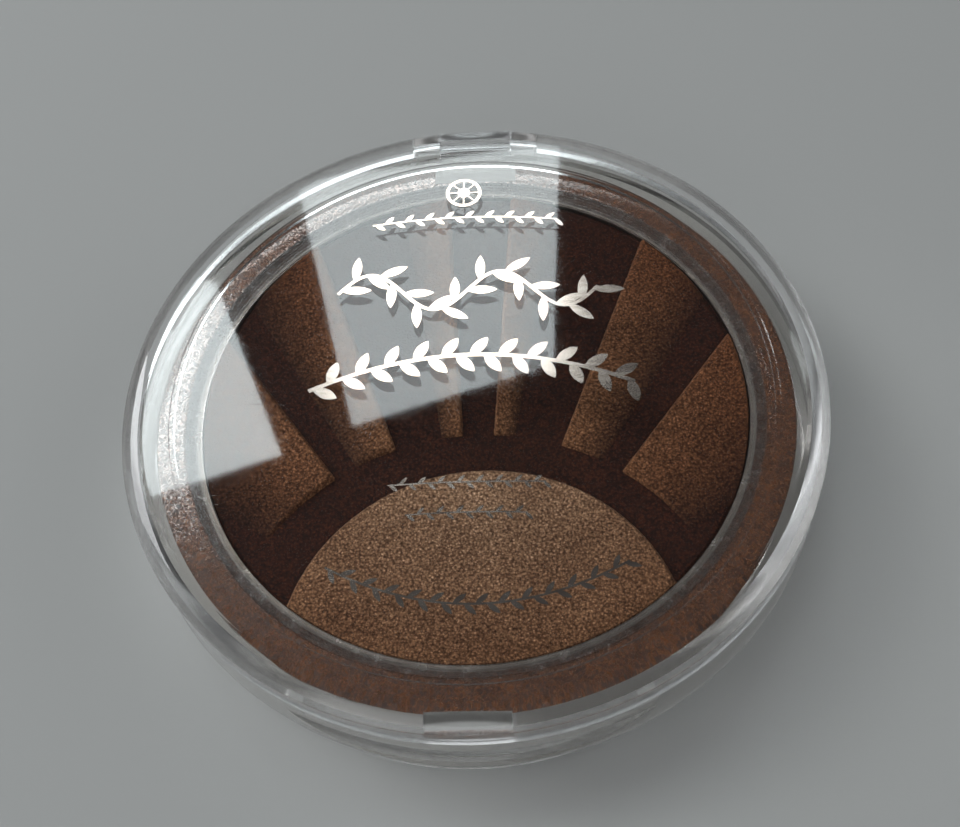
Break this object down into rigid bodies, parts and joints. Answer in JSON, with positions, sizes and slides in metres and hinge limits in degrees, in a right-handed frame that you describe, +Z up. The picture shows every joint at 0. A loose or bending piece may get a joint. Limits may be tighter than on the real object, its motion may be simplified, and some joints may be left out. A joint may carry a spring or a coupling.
{
  "type": "pressed powder compact",
  "caption": "Round clear plastic compact with a hinged lid over shimmering pressed powder moulded as a half sun with rays, inside a bronze flake ring.",
  "frame": {"origin": "centre of the flat foot, on the surface the compact stands on", "axes": "+Z up through the lid; -Y towards the thumb lip and +Y towards the hinge; +X to the right seen from the lip"},
  "size_m": [0.078, 0.0799, 0.015],
  "materials": {
    "clear_shell": "clear moulded plastic, polished",
    "clear_frame": "clear moulded plastic, polished",
    "ring_flake": "bronze metallic flake, glossy",
    "pan_metal": "pressed, satin",
    "adhesive": "matte",
    "powder_dark": "pressed powder with fine shimmer",
    "powder_gold": "pressed powder with fine shimmer",
    "powder_taupe": "pressed powder with fine shimmer",
    "pin_steel": "drawn steel wire",
    "foil": "hot-stamped pale foil"
  },
  "bodies": {
    "base": {"base_shell": "clear_shell", "bezel_ring": "clear_frame", "decor_ring": "ring_flake", "hinge_pin": "pin_steel", "inner_frame": "clear_frame", "pan_glue": "adhesive", "powder_ground": "powder_dark", "powder_pan": "pan_metal", "powder_ray_1": "powder_taupe", "powder_ray_2": "powder_taupe", "powder_ray_3": "powder_taupe", "powder_ray_4": "powder_taupe", "powder_ray_5": "powder_taupe", "powder_ray_6": "powder_taupe", "powder_sun": "powder_gold"},
    "lid": {"lid_shell": "clear_shell", "foil_badge": "foil", "foil_row": "foil", "foil_scroll": "foil", "foil_arch": "foil", "foil_bar_upper": "foil", "foil_bar_lower": "foil", "foil_smile": "foil"}
  },
  "joints": [
    {"name": "lid_hinge", "type": "hinge", "parent": "base", "child": "lid", "pos_m": [0, 0.0386, 0.0106], "axis": [-1, 0, 0], "range_deg": [0, 110]}
  ]
}
